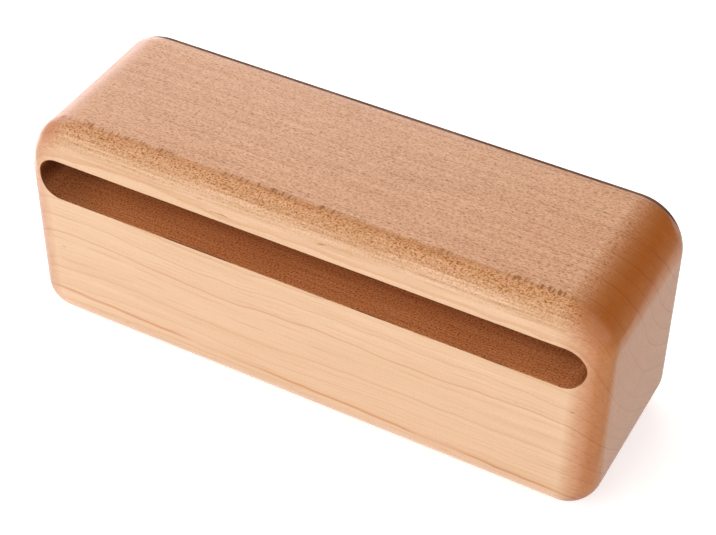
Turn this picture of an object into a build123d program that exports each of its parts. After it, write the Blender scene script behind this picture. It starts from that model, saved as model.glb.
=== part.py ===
from build123d import *
import os

# A concert woodblock: a maple block, glued up face to face from three boards, with a deep
# slot routed into its front. The slot goes right through the front board and the core board,
# and the back board closes it, so the hollow behind the mouth is the sound chamber.
#
# Frame: X runs along the block, the slot opens towards -Y, and Z is up. The origin is on the
# surface that the block stands on, under the middle of the block.

# Driving dimensions, in millimetres
length = 180.0
height = 70.5
board_thickness = 20.5

# Cutter radius that eased the front and rear edges all the way round
round_over = 9.5

# Corner radius that is left on the flat of the front and rear faces, inside the round-over
top_corner = 5.5
bottom_corner = 0.5

# The slot: how tall its mouth is, and how much wood stays above it and at its two ends
slot_height = 13.75
wood_above_slot = 9.4
wood_left_of_slot = 6.5
wood_right_of_slot = 5.0

# The boards from front to back, and how many of them the slot is routed through
board_names = ["front_board", "core_board", "back_board"]
slotted_boards = 2

# Worked out from the sizes above
depth = board_thickness * len(board_names)
front_y = -depth / 2
slot_length = length - wood_left_of_slot - wood_right_of_slot
slot_x = (wood_left_of_slot - wood_right_of_slot) / 2
slot_z = height - wood_above_slot - slot_height / 2
slot_depth = board_thickness * slotted_boards


def rounded_block():
    """The whole glued block: its end-on outline, then the round-over along every front and rear edge."""
    with BuildPart() as block:
        with BuildSketch(Plane.XZ):
            with Locations((0, height / 2)):
                Rectangle(length, height)
            fillet(vertices().group_by(Axis.Y)[-1], radius=round_over + top_corner)
            fillet(vertices().group_by(Axis.Y)[0], radius=round_over + bottom_corner)
        extrude(amount=depth / 2, both=True)
        fillet(faces().sort_by(Axis.Y)[0].edges(), radius=round_over)
        fillet(faces().sort_by(Axis.Y)[-1].edges(), radius=round_over)
    return block.part


def slot_cutter():
    """The path of the router bit: a slot with round ends, from the front face to the back board."""
    front_face = Plane.XZ.offset(-front_y)
    with BuildPart() as cutter:
        with BuildSketch(front_face):
            with Locations((slot_x, slot_z)):
                SlotOverall(slot_length, slot_height)
        extrude(amount=-slot_depth)
    return cutter.part


def board(block, place):
    """One board of the glued block, counted from the front."""
    middle_y = front_y + board_thickness * (place + 0.5)
    slab = Pos(0, middle_y, height / 2) * Box(length, board_thickness, height)
    return block & slab


os.makedirs("parts", exist_ok=True)
woodblock = rounded_block() - slot_cutter()
for place, name in enumerate(board_names):
    export_step(board(woodblock, place), f"parts/{name}.step")
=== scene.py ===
import math

import bmesh
import bpy
from bpy.props import FloatProperty, FloatVectorProperty, PointerProperty
from mathutils import Matrix, Vector


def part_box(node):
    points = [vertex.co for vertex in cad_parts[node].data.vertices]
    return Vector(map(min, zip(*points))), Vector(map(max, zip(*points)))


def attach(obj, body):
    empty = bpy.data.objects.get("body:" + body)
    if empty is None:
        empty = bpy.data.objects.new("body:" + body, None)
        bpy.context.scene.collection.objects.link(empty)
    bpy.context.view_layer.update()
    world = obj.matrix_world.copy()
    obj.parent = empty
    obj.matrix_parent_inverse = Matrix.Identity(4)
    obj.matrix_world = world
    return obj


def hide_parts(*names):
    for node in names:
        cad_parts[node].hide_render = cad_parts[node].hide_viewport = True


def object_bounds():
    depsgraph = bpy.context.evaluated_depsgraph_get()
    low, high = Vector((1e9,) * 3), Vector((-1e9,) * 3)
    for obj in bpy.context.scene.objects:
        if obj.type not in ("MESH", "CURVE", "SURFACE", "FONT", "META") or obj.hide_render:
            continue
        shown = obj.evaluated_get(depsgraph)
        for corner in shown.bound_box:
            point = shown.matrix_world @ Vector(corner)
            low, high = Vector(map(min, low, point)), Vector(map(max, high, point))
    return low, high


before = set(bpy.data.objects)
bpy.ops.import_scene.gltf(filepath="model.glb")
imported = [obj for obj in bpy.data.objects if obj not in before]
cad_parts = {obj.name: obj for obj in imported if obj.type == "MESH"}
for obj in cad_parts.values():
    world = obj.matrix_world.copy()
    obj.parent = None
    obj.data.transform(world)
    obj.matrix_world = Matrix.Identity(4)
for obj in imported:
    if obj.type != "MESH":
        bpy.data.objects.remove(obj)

bl_info = {
    "name": "Woodblock",
    "version": (1, 0, 0),
    "blender": (4, 5, 0),
    "location": "View3D > Sidebar > Woodblock",
    "description": "Models and finishes the boards of a slotted maple woodblock and sets up its studio",
    "category": "Object",
}

# The block's box as the frame gives it, and the two planes along Y where its boards are glued
CAD_LOW, CAD_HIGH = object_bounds()
GLUE_PLANES = (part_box("core_board")[0].y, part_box("core_board")[1].y)
MM = 0.001

# The width in pixels that the camera's focal length refers to, and the width of the camera's sensor
IMAGE_WIDTH = 716
SENSOR_MM = 36.0

# Sockets of a colour mix, whose names are shared with its other kinds: the two colours and the result
COLOUR_A = 6
COLOUR_B = 7
COLOUR_OUT = 2


def linear(hex_colour):
    """An sRGB hex colour as linear red, green and blue."""
    channels = [int(hex_colour[i:i + 2], 16) / 255 for i in (1, 3, 5)]
    return tuple(c / 12.92 if c <= 0.04045 else ((c + 0.055) / 1.055) ** 2.4 for c in channels)


class WoodblockSizes(bpy.types.PropertyGroup):
    """Sizes of the block that the boards are cut from."""

    top_corner: FloatProperty(
        name="Top corner", description="Radius of the two top corners, seen from the front",
        default=15.0 * MM, unit="LENGTH")
    bottom_corner: FloatProperty(
        name="Bottom corner", description="Radius of the two bottom corners, seen from the front",
        default=10.0 * MM, unit="LENGTH")
    round_over: FloatProperty(
        name="Round-over", description="Radius that eases the front and rear edges all the way round",
        default=9.5 * MM, unit="LENGTH")
    slot_height: FloatProperty(
        name="Slot height", description="Height of the slot's mouth",
        default=13.75 * MM, unit="LENGTH")
    wood_above_slot: FloatProperty(
        name="Wood above slot", description="From the slot's upper lip to the top of the block",
        default=9.4 * MM, unit="LENGTH")
    wood_left_of_slot: FloatProperty(
        name="Wood left of slot", description="From the left end of the block to the slot",
        default=6.5 * MM, unit="LENGTH")
    wood_right_of_slot: FloatProperty(
        name="Wood right of slot", description="From the slot to the right end of the block",
        default=5.0 * MM, unit="LENGTH")
    arris: FloatProperty(
        name="Slot arris", description="Radius that the sanding left on the edge of the slot's mouth",
        default=0.25 * MM, unit="LENGTH")


class WoodblockFinish(bpy.types.PropertyGroup):
    """Colours and pattern sizes of the wood."""

    face_wood: FloatVectorProperty(
        name="Face wood", description="Maple on the front and rear, cut along the growth rings",
        subtype="COLOR", size=3, min=0, max=1, default=linear("#EDC39C"))
    # Deeper and redder than the face wood: painted shade for the dimmer light on the top and underside
    edge_wood: FloatVectorProperty(
        name="Edge wood", description="Maple on the top and underside, cut across the growth rings",
        subtype="COLOR", size=3, min=0, max=1, default=linear("#DD9D6C"))
    end_wood: FloatVectorProperty(
        name="End wood", description="End grain, which drinks more lacquer",
        subtype="COLOR", size=3, min=0, max=1, default=linear("#CF8B52"))
    # Painted shade: the round-overs at the ends, which get little light, are made darkest and reddest
    slant_wood: FloatVectorProperty(
        name="Slant wood", description="Round-overs at the ends, where the fibres are cut at a slant",
        subtype="COLOR", size=3, min=0, max=1, default=linear("#BF6A2C"))
    line_depth: FloatProperty(
        name="Line depth", description="How much darker the late wood of a year's growth is",
        default=0.33, subtype="FACTOR", min=0, max=1)
    fleck: FloatVectorProperty(
        name="Fleck", description="Brown of the cutter's marks on the top and of minerals in the wood",
        subtype="COLOR", size=3, min=0, max=1, default=linear("#A0601F"))
    routed: FloatVectorProperty(
        name="Routed wood", description="Bare wood inside the slot, browned by the cutter's heat",
        subtype="COLOR", size=3, min=0, max=1, default=linear("#CF834F"))
    # Also the colour of the painted shade along the rear edge, deep in the slot and at its left end
    scorch_and_shade: FloatVectorProperty(
        name="Scorch", description="Burnt wood at the slot's edge and ends and along the rear edge",
        subtype="COLOR", size=3, min=0, max=1, default=linear("#683413"))
    ring_spacing: FloatProperty(
        name="Ring spacing", description="One year's growth",
        default=4.4 * MM, unit="LENGTH")
    pith_behind: FloatProperty(
        name="Pith behind", description="How far behind the block's middle the tree's pith lay",
        default=60.0 * MM, unit="LENGTH")
    pith_height: FloatProperty(
        name="Pith height", description="How far above the underside the tree's pith lay",
        default=88.0 * MM, unit="LENGTH")
    dark_year: FloatProperty(
        name="Dark year", description="How far from the pith one year left a darker line",
        default=119.8 * MM, unit="LENGTH")
    dash_length: FloatProperty(
        name="Dash length", description="Length of the dark dash of an open vessel, along the grain",
        default=0.85 * MM, unit="LENGTH")
    dash_width: FloatProperty(
        name="Dash width", description="Width of such a dash, across the grain",
        default=0.4 * MM, unit="LENGTH")
    stroke_length: FloatProperty(
        name="Stroke length", description="Length of a cutter's mark where the round-over meets the top",
        default=2.0 * MM, unit="LENGTH")
    stroke_width: FloatProperty(
        name="Stroke width", description="Width of such a mark",
        default=0.5 * MM, unit="LENGTH")


class WoodblockStudio(bpy.types.PropertyGroup):
    """Camera and lights of the studio."""

    azimuth: FloatProperty(
        name="Azimuth", description="How far the camera stands to the right of the front",
        default=math.radians(28.239), subtype="ANGLE")
    elevation: FloatProperty(
        name="Elevation", description="How far the camera looks down",
        default=math.radians(41.513), subtype="ANGLE")
    roll: FloatProperty(
        name="Roll", description="How far the camera is turned about its own axis",
        default=math.radians(0.59), subtype="ANGLE")
    camera_place: FloatVectorProperty(
        name="Camera place", description="Where the camera stands",
        subtype="TRANSLATION", size=3, default=(0.189256, -0.346529, 0.38013))
    focal_pixels: FloatProperty(
        name="Focal length", description="Focal length in pixels of the photograph's frame",
        default=1834.0)
    key_power: FloatProperty(
        name="Key power", description="Soft box at the front left, above the block",
        default=15.0, unit="POWER")
    rear_power: FloatProperty(
        name="Rear power", description="Soft box behind the block at the left, for the sheen on the top",
        default=4.4, unit="POWER")
    left_power: FloatProperty(
        name="Left power", description="Low soft box behind the block at the left, for the left end",
        default=1.1, unit="POWER")
    ambient: FloatProperty(
        name="Ambient", description="Strength of the white room for light on the block",
        default=1.2)


def deselect_all():
    """Leave edit mode and select nothing, because the frame's nodes and each new piece start out selected."""
    if bpy.context.object and bpy.context.object.mode != "OBJECT":
        bpy.ops.object.mode_set(mode="OBJECT")
    bpy.ops.object.select_all(action="DESELECT")


def pick(obj, elements, test):
    """In edit mode, select just the verts, edges or faces that pass a test."""
    bpy.ops.mesh.select_all(action="DESELECT")
    mesh = bmesh.from_edit_mesh(obj.data)
    for element in getattr(mesh, elements):
        if test(element):
            element.select_set(True)
    mesh.select_flush_mode()
    bmesh.update_edit_mesh(obj.data)


def all_at(element, axis, place, within=1e-6):
    """Whether every corner of an edge or face lies at one place along an axis."""
    return all(abs(v.co[axis] - place) < within for v in element.verts)


def apply_all_modifiers(obj):
    """Apply the modifiers of an object, which becomes the active one."""
    bpy.context.view_layer.objects.active = obj
    for name in [m.name for m in obj.modifiers]:
        bpy.ops.object.modifier_apply(modifier=name)


def copy_of(obj, name):
    """A copy with a mesh of its own, alone selected and active."""
    deselect_all()
    obj.select_set(True)
    bpy.context.view_layer.objects.active = obj
    bpy.ops.object.duplicate(linked=False)
    made = bpy.context.object
    made.name = name
    made.data.name = name
    return made


def remove(obj):
    """Delete a helper that has done its work."""
    deselect_all()
    obj.select_set(True)
    bpy.ops.object.delete()


def rounded_blank(sizes):
    """The glued-up block before the slot, with its corners rounded and its front and rear edges eased."""
    corner_steps = 16
    round_over_steps = 24
    deselect_all()
    bpy.ops.mesh.primitive_cube_add(size=1, location=(CAD_LOW + CAD_HIGH) / 2, scale=CAD_HIGH - CAD_LOW)
    blank = bpy.context.object
    bpy.ops.object.transform_apply(location=True, rotation=True, scale=True)
    bpy.ops.object.mode_set(mode="EDIT")
    bpy.ops.mesh.select_mode(type="EDGE")
    for height, radius in ((CAD_HIGH.z, sizes.top_corner), (CAD_LOW.z, sizes.bottom_corner)):
        for end in (CAD_LOW.x, CAD_HIGH.x):
            pick(blank, "edges", lambda e: all_at(e, 0, end) and all_at(e, 2, height))
            bpy.ops.mesh.bevel(
                offset_type="OFFSET", offset=radius, segments=corner_steps, profile=0.5, affect="EDGES")
    for face in (CAD_LOW.y, CAD_HIGH.y):
        pick(blank, "edges", lambda e: all_at(e, 1, face))
        bpy.ops.mesh.bevel(
            offset_type="OFFSET", offset=sizes.round_over, segments=round_over_steps, profile=0.5,
            affect="EDGES")
    bpy.ops.object.mode_set(mode="OBJECT")
    return blank


def slot_outline(sizes):
    """The slot seen from the front: x and z of its middle, half its length and half its height."""
    left = CAD_LOW.x + sizes.wood_left_of_slot
    right = CAD_HIGH.x - sizes.wood_right_of_slot
    half_height = sizes.slot_height / 2
    middle_z = CAD_HIGH.z - sizes.wood_above_slot - half_height
    return (left + right) / 2, middle_z, (right - left) / 2, half_height


def slot_cutter(sizes):
    """A cutter with round ends, as wide as the slot's mouth, from before the front to past the core board."""
    arc_steps = 24
    lead = 10 * MM
    seam = 0.01 * MM
    x, z, half_length, half_height = slot_outline(sizes)
    start = CAD_LOW.y - lead
    end = GLUE_PLANES[1] + lead
    deselect_all()
    bpy.ops.mesh.primitive_plane_add(size=2, location=(x, start, z), rotation=(math.radians(90), 0, 0))
    cutter = bpy.context.object
    cutter.scale = (half_length, half_height, 1)
    bpy.ops.object.transform_apply(location=True, rotation=True, scale=True)
    bpy.ops.object.mode_set(mode="EDIT")
    bpy.ops.mesh.select_all(action="SELECT")
    bpy.ops.mesh.bevel(
        offset_type="OFFSET", offset=half_height, segments=arc_steps, profile=0.5, affect="VERTICES")
    bpy.ops.mesh.select_all(action="SELECT")
    bpy.ops.mesh.remove_doubles(threshold=seam)
    bpy.ops.mesh.extrude_region_move(TRANSFORM_OT_translate={"value": (0, end - start, 0)})
    bpy.ops.mesh.select_all(action="SELECT")
    bpy.ops.mesh.normals_make_consistent(inside=False)
    bpy.ops.object.mode_set(mode="OBJECT")
    return cutter


def all_inside(face):
    """Whether a face lies within the block, well behind its front."""
    return all(CAD_LOW.y / 2 < v.co.y < CAD_HIGH.y for v in face.verts)


def in_slot(face, sizes, margin):
    """Whether a face, seen from the front, lies within the mouth of the slot, give or take a margin."""
    x, z, half_length, half_height = slot_outline(sizes)
    middle = face.calc_center_median()
    straight = half_length - half_height
    beyond = max(abs(middle.x - x) - straight, 0)
    return math.hypot(beyond, middle.z - z) < half_height + margin


def rout_slot(blank, sizes):
    """Rout the slot into the blank: open its mouth, lead the wood round the eased edge, then straight in."""
    arris_steps = 4
    hair = 0.02 * MM
    past_core = 5 * MM
    wall_lean = 0.2
    x, z, half_length, half_height = slot_outline(sizes)
    cutter = slot_cutter(sizes)
    bpy.context.view_layer.objects.active = blank
    cut = blank.modifiers.new("slot", "BOOLEAN")
    cut.operation = "DIFFERENCE"
    cut.solver = "EXACT"
    cut.object = cutter
    apply_all_modifiers(blank)
    remove(cutter)
    blank.select_set(True)
    bpy.context.view_layer.objects.active = blank
    bpy.ops.object.mode_set(mode="EDIT")
    # Only the mouth's outline is kept of the cut, so that its edge can be eased ring by ring
    bpy.ops.mesh.select_mode(type="FACE")
    pick(blank, "faces", lambda f: in_slot(f, sizes, hair) and (abs(f.normal.y) < wall_lean or all_inside(f)))
    bpy.ops.mesh.delete(type="FACE")
    bpy.ops.mesh.select_mode(type="EDGE")
    pick(blank, "edges", lambda e: e.is_boundary)
    bpy.ops.mesh.remove_doubles(threshold=hair)
    pick(blank, "edges", lambda e: e.is_boundary)
    inset = 0
    depth = 0
    for step in range(1, arris_steps + 1):
        angle = math.radians(90) * step / arris_steps
        next_inset = sizes.arris * math.sin(angle)
        next_depth = sizes.arris * (1 - math.cos(angle))
        bpy.ops.mesh.extrude_region_move(TRANSFORM_OT_translate={"value": (0, next_depth - depth, 0)})
        narrower = [(half - next_inset) / (half - inset) for half in (half_length, half_height)]
        bpy.ops.transform.resize(value=(narrower[0], 1, narrower[1]), center_override=(x, 0, z))
        inset, depth = next_inset, next_depth
    end = GLUE_PLANES[1] + past_core
    bpy.ops.mesh.extrude_region_move(TRANSFORM_OT_translate={"value": (0, end - CAD_LOW.y, 0)})
    bpy.ops.transform.resize(value=(1, 0, 1), center_override=(x, end, z))
    bpy.ops.mesh.edge_face_add()
    bpy.ops.mesh.select_mode(type="FACE")
    pick(blank, "faces", lambda f: in_slot(f, sizes, -hair))
    blank.active_material_index = 1
    bpy.ops.object.material_slot_assign()
    bpy.ops.mesh.select_all(action="SELECT")
    bpy.ops.mesh.normals_make_consistent(inside=False)
    bpy.ops.object.mode_set(mode="OBJECT")


def saw_board(block, name, rear=None, front=None):
    """One board: a copy of the block, cut at the glue planes that bound it, which are bare wood."""
    crease = math.radians(35)
    board = copy_of(block, name + "_wood")
    bpy.ops.object.mode_set(mode="EDIT")
    for plane, side in ((front, -1), (rear, 1)):
        if plane is not None:
            bpy.ops.mesh.select_all(action="SELECT")
            bpy.ops.mesh.bisect(
                plane_co=(0, plane, 0), plane_no=(0, side, 0), use_fill=True, clear_outer=True)
            bpy.ops.mesh.select_mode(type="FACE")
            pick(board, "faces", lambda f: all_at(f, 1, plane))
            board.active_material_index = 1
            bpy.ops.object.material_slot_assign()
    bpy.ops.object.mode_set(mode="OBJECT")
    bpy.ops.object.shade_smooth_by_angle(angle=crease)
    even = board.modifiers.new("even_normals", "WEIGHTED_NORMAL")
    even.keep_sharp = True
    even.weight = 80
    apply_all_modifiers(board)
    return board


def add_node(tree, kind, inputs=None, **settings):
    """Add a node, set its properties, and give each input a value or another node's output."""
    made = tree.nodes.new(kind)
    for name, value in settings.items():
        setattr(made, name, value)
    for key, value in (inputs or {}).items():
        if isinstance(value, bpy.types.NodeSocket):
            tree.links.new(value, made.inputs[key])
        else:
            made.inputs[key].default_value = value
    return made.outputs


def new_material(name):
    """An empty node material with its node tree and its shader."""
    material = bpy.data.materials.new(name)
    material.use_nodes = True
    return material, material.node_tree, material.node_tree.nodes["Principled BSDF"]


def wood_place(tree):
    """A point's place in the block in millimetres, and which way its surface faces."""
    where = add_node(tree, "ShaderNodeTexCoord")
    place = add_node(
        tree, "ShaderNodeVectorMath", {0: where["Object"], "Scale": 1 / MM}, operation="SCALE")[0]
    return place, where["Normal"]


def stretched_noise(tree, place, size, detail=1.0):
    """Noise whose blotches have a given size in millimetres along X, Y and Z."""
    stretched = add_node(tree, "ShaderNodeMapping", {"Vector": place, "Scale": [1 / s for s in size]})[0]
    return add_node(tree, "ShaderNodeTexNoise", {"Vector": stretched, "Scale": 1.0, "Detail": detail})[0]


def growth_lines(tree, place, finish):
    """How dark the growth lines are: rings about the pith that wander along the trunk."""
    wobble_mm = 0.9
    wobble_size = (11, 6, 6)
    wander_mm = 6.0
    wander_size = (75, 40, 40)
    uneven_years = 1.6
    uneven_rate = 0.31
    across = add_node(
        tree, "ShaderNodeVectorMath",
        {0: place, 1: (0, 1, 1), 2: (0, -finish.pith_behind / MM, -finish.pith_height / MM)},
        operation="MULTIPLY_ADD")[0]
    radius = add_node(tree, "ShaderNodeVectorMath", {0: across}, operation="LENGTH")["Value"]
    wobble = stretched_noise(tree, place, wobble_size)
    radius = add_node(
        tree, "ShaderNodeMath", {0: wobble, 1: wobble_mm, 2: radius}, operation="MULTIPLY_ADD")[0]
    dark = dark_year(tree, place, radius, finish)
    wander = stretched_noise(tree, place, wander_size)
    radius = add_node(
        tree, "ShaderNodeMath", {0: wander, 1: wander_mm, 2: radius}, operation="MULTIPLY_ADD")[0]
    years = add_node(tree, "ShaderNodeMath", {0: radius, 1: finish.ring_spacing / MM}, operation="DIVIDE")[0]
    uneven = add_node(
        tree, "ShaderNodeTexNoise", {"W": years, "Scale": uneven_rate, "Detail": 1.0},
        noise_dimensions="1D")[0]
    years = add_node(
        tree, "ShaderNodeMath", {0: uneven, 1: uneven_years, 2: years}, operation="MULTIPLY_ADD")[0]
    late = late_wood(tree, years)
    fine = fine_lines(tree, place, years)
    lines = add_node(tree, "ShaderNodeMath", {0: late, 1: fine}, operation="MAXIMUM")[0]
    return add_node(tree, "ShaderNodeMath", {0: lines, 1: dark}, operation="MAXIMUM")[0]


def late_wood(tree, years):
    """The end of each year's growth: a slow rise, then a thin line, darker in some years than in others."""
    faintest = 0.3
    rise_power = 5.0
    rise_share = 0.35
    line_share = 0.65
    year = add_node(tree, "ShaderNodeMath", {0: years}, operation="FLOOR")[0]
    season = add_node(tree, "ShaderNodeMath", {0: years}, operation="FRACT")[0]
    strength = add_node(tree, "ShaderNodeTexWhiteNoise", {"W": year}, noise_dimensions="1D")["Value"]
    strength = add_node(tree, "ShaderNodeMapRange", {"Value": strength, "To Min": faintest, "To Max": 1.0})[0]
    rise = add_node(tree, "ShaderNodeMath", {0: season, 1: rise_power}, operation="POWER")[0]
    rise = add_node(tree, "ShaderNodeMath", {0: rise, 1: rise_share}, operation="MULTIPLY")[0]
    line = add_node(
        tree, "ShaderNodeMapRange", {"Value": season, "From Min": 0.89, "From Max": 0.97},
        interpolation_type="SMOOTHSTEP")[0]
    late = add_node(tree, "ShaderNodeMath", {0: line, 1: line_share, 2: rise}, operation="MULTIPLY_ADD")[0]
    return add_node(tree, "ShaderNodeMath", {0: late, 1: strength}, operation="MULTIPLY")[0]


def fine_lines(tree, place, years):
    """Fainter lines within a year's growth, in broken stretches along the grain."""
    lines_a_year = 4.0
    darkest = 0.5
    stretch_size = (13, 1.2, 1.2)
    lines = add_node(tree, "ShaderNodeMath", {0: years, 1: lines_a_year}, operation="MULTIPLY")[0]
    lines = add_node(tree, "ShaderNodeMath", {0: lines}, operation="FRACT")[0]
    lines = add_node(
        tree, "ShaderNodeMapRange", {"Value": lines, "From Min": 0.65, "From Max": 0.95, "To Max": darkest},
        interpolation_type="SMOOTHSTEP")[0]
    stretches = stretched_noise(tree, place, stretch_size)
    stretches = add_node(
        tree, "ShaderNodeMapRange", {"Value": stretches, "From Min": 0.42, "From Max": 0.62})[0]
    return add_node(tree, "ShaderNodeMath", {0: lines, 1: stretches}, operation="MULTIPLY")[0]


def dark_year(tree, place, radius, finish):
    """One year's line that is darker than the rest, in broken stretches, on a trunk that widens along X."""
    taper = 0.0143
    full_mm = 0.1
    faded_mm = 0.5
    darkness = 1.3
    faintest = 0.25
    stretch_size = (22, 60, 60)
    along = add_node(tree, "ShaderNodeSeparateXYZ", {0: place})["X"]
    away = add_node(tree, "ShaderNodeMath", {0: along, 1: -taper, 2: radius}, operation="MULTIPLY_ADD")[0]
    away = add_node(tree, "ShaderNodeMath", {0: away, 1: finish.dark_year / MM}, operation="SUBTRACT")[0]
    away = add_node(tree, "ShaderNodeMath", {0: away}, operation="ABSOLUTE")[0]
    line = add_node(
        tree, "ShaderNodeMapRange",
        {"Value": away, "From Min": faded_mm, "From Max": full_mm, "To Max": darkness},
        interpolation_type="SMOOTHSTEP")[0]
    stretches = stretched_noise(tree, place, stretch_size)
    stretches = add_node(
        tree, "ShaderNodeMapRange",
        {"Value": stretches, "From Min": 0.35, "From Max": 0.6, "To Min": faintest, "To Max": 1.0})[0]
    return add_node(tree, "ShaderNodeMath", {0: line, 1: stretches}, operation="MULTIPLY")[0]


def mineral_marks(tree, place):
    """A few short brown marks along the grain, as minerals leave in sound maple."""
    mark_size = (5, 0.7, 0.7)
    strongest = 0.6
    marks = stretched_noise(tree, place, mark_size, detail=0.0)
    return add_node(
        tree, "ShaderNodeMapRange", {"Value": marks, "From Min": 0.81, "From Max": 0.88, "To Max": strongest},
        interpolation_type="SMOOTHSTEP")[0]


def vessel_dashes(tree, place, length, width):
    """Short dashes along the grain where vessels were cut open: over 0 on pale wood, under 0 in a vessel."""
    # Real maple vessels are well under 0.1 mm wide, too fine to show, so they are drawn coarser
    palest = 0.5
    deepening = -1.8
    noise = stretched_noise(tree, place, (length / MM, width / MM, width / MM))
    noise = add_node(tree, "ShaderNodeMapRange", {"Value": noise, "From Min": 0.2, "From Max": 0.8})[0]
    depth = add_node(tree, "ShaderNodeMath", {0: noise, 1: 2.0}, operation="POWER")[0]
    return add_node(tree, "ShaderNodeMath", {0: depth, 1: deepening, 2: palest}, operation="MULTIPLY_ADD")[0]


def vessel_relief(tree, place, normal, end_grain, face_grain, finish):
    """Relief of the open vessels: most on the front round-over, fewer on the top, few on front and ends."""
    on_edge = 0.9
    on_face = 0.07
    on_end = 0.1
    untorn_share = 0.7
    torn_length = 0.65
    opened = add_node(
        tree, "ShaderNodeMapRange",
        {"Value": face_grain, "From Min": 0.15, "From Max": 0.85, "To Min": on_edge, "To Max": on_face})[0]
    rearward = add_node(tree, "ShaderNodeSeparateXYZ", {0: normal})["Y"]
    torn = add_node(tree, "ShaderNodeMapRange", {"Value": rearward, "From Min": -0.08, "From Max": -0.2})[0]
    share = add_node(tree, "ShaderNodeMapRange", {"Value": torn, "To Min": untorn_share, "To Max": 1.0})[0]
    opened = add_node(tree, "ShaderNodeMath", {0: opened, 1: share}, operation="MULTIPLY")[0]
    share = add_node(
        tree, "ShaderNodeMapRange",
        {"Value": end_grain, "From Min": 0.0, "From Max": 0.2, "To Min": 1.0, "To Max": on_end})[0]
    opened = add_node(tree, "ShaderNodeMath", {0: opened, 1: share}, operation="MULTIPLY")[0]
    dashes = vessel_dashes(tree, place, finish.dash_length, finish.dash_width)
    shorter = vessel_dashes(tree, place, finish.dash_length * torn_length, finish.dash_width)
    dashes = add_node(tree, "ShaderNodeMix", {"Factor": torn, "A": dashes, "B": shorter})[0]
    return add_node(tree, "ShaderNodeMath", {0: dashes, 1: opened}, operation="MULTIPLY")[0]


def grain_shade(tree, place, relief, end_grain, face_grain):
    """How pale or dark the wood is by its relief, with long streaks along the grain and broad soft bands."""
    streak_size = (26, 0.6, 0.6)
    on_top = 0.14
    on_round = 0.25
    face_share = 0.16
    end_share = 0.3
    band_size = (60, 3.0, 3.0)
    band_depth = 0.05
    depth = add_node(
        tree, "ShaderNodeMapRange",
        {"Value": face_grain, "From Min": 0.1, "From Max": 0.45, "To Min": on_top, "To Max": on_round})[0]
    share = add_node(
        tree, "ShaderNodeMapRange",
        {"Value": face_grain, "From Min": 0.6, "From Max": 1.0, "To Min": 1.0, "To Max": face_share})[0]
    depth = add_node(tree, "ShaderNodeMath", {0: depth, 1: share}, operation="MULTIPLY")[0]
    share = add_node(
        tree, "ShaderNodeMapRange",
        {"Value": end_grain, "From Min": 0.0, "From Max": 0.3, "To Min": 1.0, "To Max": end_share})[0]
    depth = add_node(tree, "ShaderNodeMath", {0: depth, 1: share}, operation="MULTIPLY")[0]
    streaks = stretched_noise(tree, place, streak_size)
    streaks = add_node(
        tree, "ShaderNodeMapRange",
        {"Value": streaks, "From Min": 0.25, "From Max": 0.75, "To Min": -1.0, "To Max": 1.0})[0]
    bands = stretched_noise(tree, place, band_size)
    bands = add_node(
        tree, "ShaderNodeMapRange",
        {"Value": bands, "From Min": 0.25, "From Max": 0.75, "To Min": -band_depth, "To Max": band_depth})[0]
    shade = add_node(tree, "ShaderNodeMath", {0: streaks, 1: depth, 2: relief}, operation="MULTIPLY_ADD")[0]
    return add_node(tree, "ShaderNodeMath", {0: shade, 1: bands}, operation="ADD")[0]


def cutter_strokes(tree, place, normal, finish, sizes):
    """Clusters of short marks across the grain, in a row where the front round-over runs out on the top."""
    row_setback_mm = 0.8
    cluster_size = (9, 60, 60)
    strongest = 0.85
    length = finish.stroke_length / MM
    row_y = CAD_LOW.y / MM + sizes.round_over / MM - row_setback_mm
    strokes = stretched_noise(tree, place, (finish.stroke_width / MM, 2 * length, 2 * length), detail=0.0)
    strokes = add_node(
        tree, "ShaderNodeMapRange", {"Value": strokes, "From Min": 0.53, "From Max": 0.66},
        interpolation_type="SMOOTHSTEP")[0]
    clusters = stretched_noise(tree, place, cluster_size)
    clusters = add_node(
        tree, "ShaderNodeMapRange",
        {"Value": clusters, "From Min": 0.28, "From Max": 0.5, "To Max": strongest})[0]
    beside_row = add_node(tree, "ShaderNodeSeparateXYZ", {0: place})["Y"]
    beside_row = add_node(tree, "ShaderNodeMath", {0: beside_row, 1: row_y}, operation="SUBTRACT")[0]
    beside_row = add_node(tree, "ShaderNodeMath", {0: beside_row}, operation="ABSOLUTE")[0]
    row = add_node(
        tree, "ShaderNodeMapRange",
        {"Value": beside_row, "From Min": length * 0.6, "From Max": length * 0.35},
        interpolation_type="SMOOTHSTEP")[0]
    upward = add_node(tree, "ShaderNodeSeparateXYZ", {0: normal})["Z"]
    upward = add_node(tree, "ShaderNodeMapRange", {"Value": upward, "From Min": 0.8, "From Max": 0.95})[0]
    row = add_node(tree, "ShaderNodeMath", {0: row, 1: upward}, operation="MULTIPLY")[0]
    marks = add_node(tree, "ShaderNodeMath", {0: strokes, 1: clusters}, operation="MULTIPLY")[0]
    return add_node(tree, "ShaderNodeMath", {0: marks, 1: row}, operation="MULTIPLY")[0]


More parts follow.
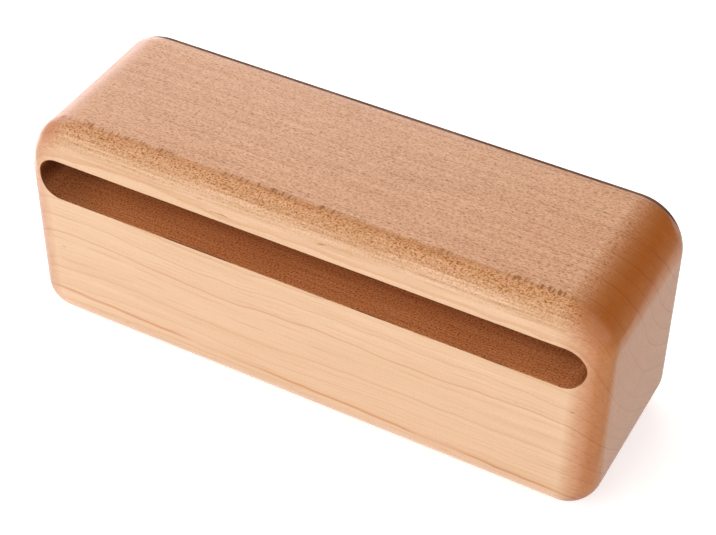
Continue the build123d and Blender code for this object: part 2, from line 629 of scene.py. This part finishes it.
def rear_edge_shade(tree, place, normal):
    """A dark band along the rear round-over of the top, painted shade that from the front shows as a thin
    dark line.
    """
    faintest = 0.88
    stretch_size = (14, 30, 30)
    facing = add_node(tree, "ShaderNodeSeparateXYZ", {0: normal})
    begins = add_node(
        tree, "ShaderNodeMapRange", {"Value": facing["Y"], "From Min": 0.28, "From Max": 0.37})[0]
    ends = add_node(tree, "ShaderNodeMapRange", {"Value": facing["Y"], "From Min": 0.75, "From Max": 0.7})[0]
    upward = add_node(
        tree, "ShaderNodeMapRange", {"Value": facing["Z"], "From Min": 0.45, "From Max": 0.62})[0]
    stretches = stretched_noise(tree, place, stretch_size)
    stretches = add_node(
        tree, "ShaderNodeMapRange",
        {"Value": stretches, "From Min": 0.3, "From Max": 0.6, "To Min": faintest, "To Max": 1.0})[0]
    line = add_node(tree, "ShaderNodeMath", {0: begins, 1: ends}, operation="MULTIPLY")[0]
    line = add_node(tree, "ShaderNodeMath", {0: line, 1: upward}, operation="MULTIPLY")[0]
    return add_node(tree, "ShaderNodeMath", {0: line, 1: stretches}, operation="MULTIPLY")[0]


def shaded(tree, colour, shade, channels):
    """The colour made lighter or darker, each channel by its own share, at most down to a deep brown."""
    deepest = (0.35, 0.2, 0.1)
    tint = add_node(
        tree, "ShaderNodeVectorMath", {0: shade, 1: channels, 2: (1, 1, 1)}, operation="MULTIPLY_ADD")[0]
    tint = add_node(tree, "ShaderNodeVectorMath", {0: tint, 1: deepest}, operation="MAXIMUM")[0]
    return add_node(tree, "ShaderNodeVectorMath", {0: colour, 1: tint}, operation="MULTIPLY")[0]


def wood_by_cut(tree, normal, finish):
    """Colour of the wood by the way it was cut and faces, and how much of a cut is end grain and face grain;
    the top, underside and end round-overs get deeper, redder colours as painted shade.
    """
    upright_share = 0.4
    slant_peak = 4.0
    slant_power = 0.5
    squared = add_node(tree, "ShaderNodeVectorMath", {0: normal, 1: normal}, operation="MULTIPLY")[0]
    squared = add_node(tree, "ShaderNodeSeparateXYZ", {0: squared})
    # The top and underside take the edge wood, deeper as painted shade
    along = add_node(
        tree, "ShaderNodeMix",
        {"Factor": squared["Z"], COLOUR_A: (*finish.face_wood, 1), COLOUR_B: (*finish.edge_wood, 1)},
        data_type="RGBA")[COLOUR_OUT]
    colour = add_node(
        tree, "ShaderNodeMix", {"Factor": squared["X"], COLOUR_A: along, COLOUR_B: (*finish.end_wood, 1)},
        data_type="RGBA")[COLOUR_OUT]
    # Painted shade on the round-overs at the ends, strongest between the end and the top or front
    slant_shade = add_node(
        tree, "ShaderNodeMath", {0: squared["Y"], 1: upright_share, 2: squared["Z"]},
        operation="MULTIPLY_ADD")[0]
    slant_shade = add_node(tree, "ShaderNodeMath", {0: slant_shade, 1: squared["X"]}, operation="MULTIPLY")[0]
    slant_shade = add_node(tree, "ShaderNodeMath", {0: slant_shade, 1: slant_peak}, operation="MULTIPLY")[0]
    slant_shade = add_node(tree, "ShaderNodeMath", {0: slant_shade, 1: slant_power}, operation="POWER")[0]
    colour = add_node(
        tree, "ShaderNodeMix", {"Factor": slant_shade, COLOUR_A: colour, COLOUR_B: (*finish.slant_wood, 1)},
        data_type="RGBA")[COLOUR_OUT]
    return colour, squared["X"], squared["Y"]


def lacquered_maple(finish, sizes):
    """Hard maple, sanded and clear lacquered: pale tan, thin growth lines, dark dashes, a satin sheen."""
    line_channels = (0.5, 1.0, 1.3)
    dash_channels = (0.65, 1.0, 1.6)
    satin = 0.27
    end_gloss = 0.15
    stroke_dulling = 0.6
    rear_shade_dulling = 0.73
    material, tree, shader = new_material("lacquered_maple")
    place, normal = wood_place(tree)
    colour, end_grain, face_grain = wood_by_cut(tree, normal, finish)
    lines = growth_lines(tree, place, finish)
    lines = add_node(tree, "ShaderNodeMath", {0: lines, 1: -finish.line_depth}, operation="MULTIPLY")[0]
    colour = shaded(tree, colour, lines, line_channels)
    marks = mineral_marks(tree, place)
    colour = add_node(
        tree, "ShaderNodeMix", {"Factor": marks, COLOUR_A: colour, COLOUR_B: (*finish.fleck, 1)},
        data_type="RGBA")[COLOUR_OUT]
    relief = vessel_relief(tree, place, normal, end_grain, face_grain, finish)
    shade = grain_shade(tree, place, relief, end_grain, face_grain)
    colour = shaded(tree, colour, shade, dash_channels)
    strokes = cutter_strokes(tree, place, normal, finish, sizes)
    colour = add_node(
        tree, "ShaderNodeMix", {"Factor": strokes, COLOUR_A: colour, COLOUR_B: (*finish.fleck, 1)},
        data_type="RGBA")[COLOUR_OUT]
    # Painted shade: a dark band along the rear round-over of the top, in the scorch colour
    rear_shade = rear_edge_shade(tree, place, normal)
    colour = add_node(
        tree, "ShaderNodeMix", {"Factor": rear_shade, COLOUR_A: colour, COLOUR_B: (*finish.scorch_and_shade, 1)},
        data_type="RGBA")[COLOUR_OUT]
    tree.links.new(colour, shader.inputs["Base Color"])
    dull = add_node(
        tree, "ShaderNodeMapRange",
        {"Value": end_grain, "From Min": 0.6, "From Max": 1.0, "To Min": satin, "To Max": end_gloss})[0]
    dull = add_node(
        tree, "ShaderNodeMath", {0: strokes, 1: stroke_dulling, 2: dull}, operation="MULTIPLY_ADD")[0]
    # The painted shade band along the rear edge is also made duller
    dull = add_node(
        tree, "ShaderNodeMath", {0: rear_shade, 1: rear_shade_dulling, 2: dull}, operation="MULTIPLY_ADD")[0]
    tree.links.new(dull, shader.inputs["Roughness"])
    bump = add_node(tree, "ShaderNodeBump", {"Height": relief, "Strength": 0.4, "Distance": 0.05 * MM})[0]
    tree.links.new(bump, shader.inputs["Normal"])
    shader.inputs["IOR"].default_value = 1.5
    return material


def slot_burn_and_shade(tree, place, normal):
    """How dark the slot is made: its edge in stretches, its round ends all over, and painted shade that grows
    with depth, covers its back and reaches further along at the left end.
    """
    faintest = 0.35
    stretch_size = (13, 40, 40)
    shallow_y_mm = -27.0
    deep_y_mm = -13.0
    depth_shade_share = 0.3
    left_shade_full_x_mm = -82.0
    left_shade_none_x_mm = -60.0
    left_shade_share = 0.5
    facing = add_node(tree, "ShaderNodeSeparateXYZ", {0: normal})
    where = add_node(tree, "ShaderNodeSeparateXYZ", {0: place})
    forward = add_node(
        tree, "ShaderNodeMapRange", {"Value": facing["Y"], "From Min": -0.1, "From Max": -0.5})[0]
    stretches = stretched_noise(tree, place, stretch_size)
    stretches = add_node(
        tree, "ShaderNodeMapRange",
        {"Value": stretches, "From Min": 0.4, "From Max": 0.58, "To Min": faintest, "To Max": 1.0})[0]
    # Painted shade: darker the deeper into the slot
    depth_shade = add_node(
        tree, "ShaderNodeMapRange",
        {"Value": where["Y"], "From Min": shallow_y_mm, "From Max": deep_y_mm})[0]
    stretches = add_node(tree, "ShaderNodeMath", {0: stretches, 1: depth_shade}, operation="MAXIMUM")[0]
    edge = add_node(tree, "ShaderNodeMath", {0: forward, 1: stretches}, operation="MULTIPLY")[0]
    ends = add_node(tree, "ShaderNodeMath", {0: facing["X"], 1: facing["X"]}, operation="MULTIPLY")[0]
    burn_and_shade = add_node(tree, "ShaderNodeMath", {0: ends, 1: edge}, operation="MAXIMUM")[0]
    depth_shade = add_node(tree, "ShaderNodeMath", {0: depth_shade, 1: depth_shade_share}, operation="MULTIPLY")[0]
    burn_and_shade = add_node(tree, "ShaderNodeMath", {0: burn_and_shade, 1: depth_shade}, operation="MAXIMUM")[0]
    # Painted shade on the left end, which faces away from the light from the left, reaching further along the
    # slot
    left_end_shade = add_node(
        tree, "ShaderNodeMapRange",
        {"Value": where["X"], "From Min": left_shade_none_x_mm, "From Max": left_shade_full_x_mm, "To Max": left_shade_share})[0]
    return add_node(tree, "ShaderNodeMath", {0: burn_and_shade, 1: left_end_shade}, operation="MAXIMUM")[0]


def routed_maple(finish):
    """Maple straight from the router bit: unlacquered, browned by heat, with painted shade deeper in, dull,
    with darker torn dashes.
    """
    dash_channels = (0.65, 1.0, 1.3)
    dash_depth = 0.85
    torn_length = 0.7
    streak_size = (20, 0.5, 0.5)
    streaking = 0.2
    material, tree, shader = new_material("routed_maple")
    place, normal = wood_place(tree)
    dashes = vessel_dashes(tree, place, finish.dash_length * torn_length, finish.dash_width)
    # Darker at the edge and ends, plus painted shade deeper in and at the left end, towards the scorch colour
    burn_and_shade = slot_burn_and_shade(tree, place, normal)
    colour = add_node(
        tree, "ShaderNodeMix",
        {"Factor": burn_and_shade, COLOUR_A: (*finish.routed, 1), COLOUR_B: (*finish.scorch_and_shade, 1)},
        data_type="RGBA")[COLOUR_OUT]
    streaks = stretched_noise(tree, place, streak_size)
    streaks = add_node(
        tree, "ShaderNodeMapRange",
        {"Value": streaks, "From Min": 0.25, "From Max": 0.75, "To Min": -streaking, "To Max": streaking})[0]
    shade = add_node(
        tree, "ShaderNodeMath", {0: dashes, 1: dash_depth, 2: streaks}, operation="MULTIPLY_ADD")[0]
    tree.links.new(shaded(tree, colour, shade, dash_channels), shader.inputs["Base Color"])
    bump = add_node(tree, "ShaderNodeBump", {"Height": dashes, "Strength": 0.6, "Distance": 0.06 * MM})[0]
    tree.links.new(bump, shader.inputs["Normal"])
    shader.inputs["Roughness"].default_value = 0.7
    shader.inputs["Specular IOR Level"].default_value = 0.2
    return material


class WOODBLOCK_OT_boards(bpy.types.Operator):
    """Model the three glued boards of the block, with the slot routed through the front two"""

    bl_idname = "woodblock.boards"
    bl_label = "Boards"

    def execute(self, context):
        sizes = context.scene.woodblock_sizes
        finish = context.scene.woodblock_finish
        block = rounded_blank(sizes)
        block.data.materials.append(lacquered_maple(finish, sizes))
        block.data.materials.append(routed_maple(finish))
        boards = [saw_board(block, "back_board", front=GLUE_PLANES[1])]
        rout_slot(block, sizes)
        boards.append(saw_board(block, "core_board", front=GLUE_PLANES[0], rear=GLUE_PLANES[1]))
        boards.append(saw_board(block, "front_board", rear=GLUE_PLANES[0]))
        remove(block)
        for board in boards:
            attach(board, "root")
            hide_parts(board.name.removesuffix("_wood"))
        return {"FINISHED"}


class WOODBLOCK_OT_stage(bpy.types.Operator):
    """Lay the pale floor, hang the soft lights and set up the camera"""

    bl_idname = "woodblock.stage"
    bl_label = "Studio"

    def execute(self, context):
        studio = context.scene.woodblock_studio
        pale_floor()
        soft_box("key_light", (-1.0, -1.6, 1.9), (1.6, 1.6), studio.key_power).visible_glossy = False
        soft_box("rear_light", (-0.7, 0.723, 0.64), (1.1, 0.8), studio.rear_power)
        soft_box("left_light", (-0.8, 0.64, 0.125), (0.6, 0.24), studio.left_power)
        # Black flags keep the room's white out of the top's right half and dim the light from above
        panel("rear_flag", (0.75, 1.05, 0.65), (90, 0, -35.5), (1.5, 1.3))
        panel("ceiling_flag", (0, 0.04, 0.85), (0, 0, 0), (1.3, 1.18))
        mirrored_cards()
        white_room(studio.ambient)
        photo_camera(studio)
        context.scene.view_settings.view_transform = "Standard"
        return {"FINISHED"}


def sees_background(tree):
    """1 for rays that show the background: straight from the camera, mirrored or through glass."""
    path = add_node(tree, "ShaderNodeLightPath")
    shown = add_node(
        tree, "ShaderNodeMath", {0: path["Is Camera Ray"], 1: path["Is Glossy Ray"]}, operation="MAXIMUM")[0]
    return add_node(
        tree, "ShaderNodeMath", {0: shown, 1: path["Is Transmission Ray"]}, operation="MAXIMUM")[0]


def pale_floor():
    """A plain white floor, which is lifted to white where it shows and keeps the block's shadow."""
    drop = 0.1 * MM
    lift_strength = 0.55
    deselect_all()
    bpy.ops.mesh.primitive_plane_add(size=8.0, location=(0, 0, CAD_LOW.z - drop))
    floor = bpy.context.object
    floor.name = "floor"
    bpy.ops.object.transform_apply(location=True, rotation=True, scale=True)
    material, tree, shader = new_material("white_paper")
    shader.inputs["Base Color"].default_value = (0.9, 0.9, 0.9, 1)
    shader.inputs["Roughness"].default_value = 1.0
    shader.inputs["Specular IOR Level"].default_value = 0.0
    shader.inputs["Emission Color"].default_value = (1, 1, 1, 1)
    lift = add_node(
        tree, "ShaderNodeMath", {0: sees_background(tree), 1: lift_strength}, operation="MULTIPLY")[0]
    tree.links.new(lift, shader.inputs["Emission Strength"])
    floor.data.materials.append(material)


def soft_box(name, place, size, power):
    """A soft light of a given width and height that faces the middle of the block."""
    light = bpy.data.lights.new(name, "AREA")
    light.shape = "RECTANGLE"
    light.size, light.size_y = size
    light.energy = power
    lamp = bpy.data.objects.new(name, light)
    bpy.context.scene.collection.objects.link(lamp)
    lamp.location = place
    middle = (CAD_LOW + CAD_HIGH) / 2
    lamp.rotation_euler = (middle - lamp.location).to_track_quat("-Z", "Y").to_euler()
    return lamp


def panel(name, place, turn, size, glow=0.0):
    """A panel hidden from the camera, black or glowing, that shapes the light and what the block mirrors."""
    deselect_all()
    bpy.ops.mesh.primitive_plane_add(size=1, location=place, rotation=[math.radians(a) for a in turn])
    made = bpy.context.object
    made.name = name
    made.scale = (*size, 1)
    bpy.ops.object.transform_apply(location=True, rotation=True, scale=True)
    material, _, shader = new_material(name + "_cloth")
    shader.inputs["Base Color"].default_value = (0.02, 0.02, 0.02, 1)
    shader.inputs["Roughness"].default_value = 1.0
    shader.inputs["Specular IOR Level"].default_value = 0.0
    shader.inputs["Emission Color"].default_value = (1, 1, 1, 1)
    shader.inputs["Emission Strength"].default_value = glow
    made.data.materials.append(material)
    made.visible_camera = False
    return made


def mirrored_cards():
    """Cards on the floor that show only in the lacquer: behind the rear edge, and beside the two ends."""
    right_turn = (0, 0, -31.2)
    cards = (
        panel("edge_card", (-0.2, 0.55, 0.001), (0, 0, 19.5), (0.27, 0.98)),
        panel("end_card", (1.604, 0.53, 0.001), right_turn, (2.0, 2.53), glow=0.3),
        panel("corner_card", (1.638, 0.586, 0.0015), right_turn, (2.0, 2.4), glow=0.03),
        panel("grey_card", (0.106, 0.138, 0.0005), right_turn, (0.16, 0.31), glow=0.6),
        panel("left_card", (-0.3175, 0.075, 0.002), (0, 0, 0), (0.325, 0.19), glow=5.0),
    )
    for card in cards:
        card.visible_diffuse = False
        card.visible_shadow = False


def white_room(ambient):
    """A white surround: full white where it shows, and a light of its own strength on the block."""
    world = bpy.data.worlds.new("white_room")
    bpy.context.scene.world = world
    world.use_nodes = True
    tree = world.node_tree
    strength = add_node(
        tree, "ShaderNodeMapRange", {"Value": sees_background(tree), "To Min": ambient, "To Max": 1.0})[0]
    background = tree.nodes["Background"]
    background.inputs["Color"].default_value = (1, 1, 1, 1)
    tree.links.new(strength, background.inputs["Strength"])


def photo_camera(studio):
    """The camera at the photograph's viewing angle."""
    camera = bpy.data.cameras.new("camera")
    camera.sensor_fit = "HORIZONTAL"
    camera.sensor_width = SENSOR_MM
    camera.lens = studio.focal_pixels / IMAGE_WIDTH * SENSOR_MM
    camera.clip_start = 10 * MM
    holder = bpy.data.objects.new("camera", camera)
    bpy.context.scene.collection.objects.link(holder)
    flat = math.cos(studio.elevation)
    back = Vector((
        math.sin(studio.azimuth) * flat,
        -math.cos(studio.azimuth) * flat,
        math.sin(studio.elevation)))
    right = Vector((math.cos(studio.azimuth), math.sin(studio.azimuth), 0))
    right = Matrix.Rotation(studio.roll, 3, back) @ right
    up = back.cross(right)
    aim = Matrix((right, up, back)).transposed().to_4x4()
    holder.matrix_world = Matrix.Translation(Vector(studio.camera_place)) @ aim
    bpy.context.scene.camera = holder


class WOODBLOCK_PT_sidebar(bpy.types.Panel):
    """Lists the sizes, finish and studio of the woodblock"""

    bl_idname = "WOODBLOCK_PT_sidebar"
    bl_label = "Woodblock"
    bl_space_type = "VIEW_3D"
    bl_region_type = "UI"
    bl_category = "Woodblock"

    def draw(self, context):
        operators = {"finish": "woodblock.boards", "studio": "woodblock.stage"}
        for group in ("sizes", "finish", "studio"):
            settings = getattr(context.scene, f"woodblock_{group}")
            box = self.layout.box()
            for name in settings.__annotations__:
                box.prop(settings, name)
            if group in operators:
                box.operator(operators[group])


CLASSES = (
    WoodblockSizes, WoodblockFinish, WoodblockStudio,
    WOODBLOCK_OT_boards, WOODBLOCK_OT_stage, WOODBLOCK_PT_sidebar,
)


def register():
    for made in CLASSES:
        bpy.utils.register_class(made)
    bpy.types.Scene.woodblock_sizes = PointerProperty(type=WoodblockSizes)
    bpy.types.Scene.woodblock_finish = PointerProperty(type=WoodblockFinish)
    bpy.types.Scene.woodblock_studio = PointerProperty(type=WoodblockStudio)


def unregister():
    del bpy.types.Scene.woodblock_studio
    del bpy.types.Scene.woodblock_finish
    del bpy.types.Scene.woodblock_sizes
    for made in reversed(CLASSES):
        bpy.utils.unregister_class(made)


def main():
    register()
    bpy.ops.woodblock.boards()
    bpy.ops.woodblock.stage()


if __name__ == "__main__":
    main()
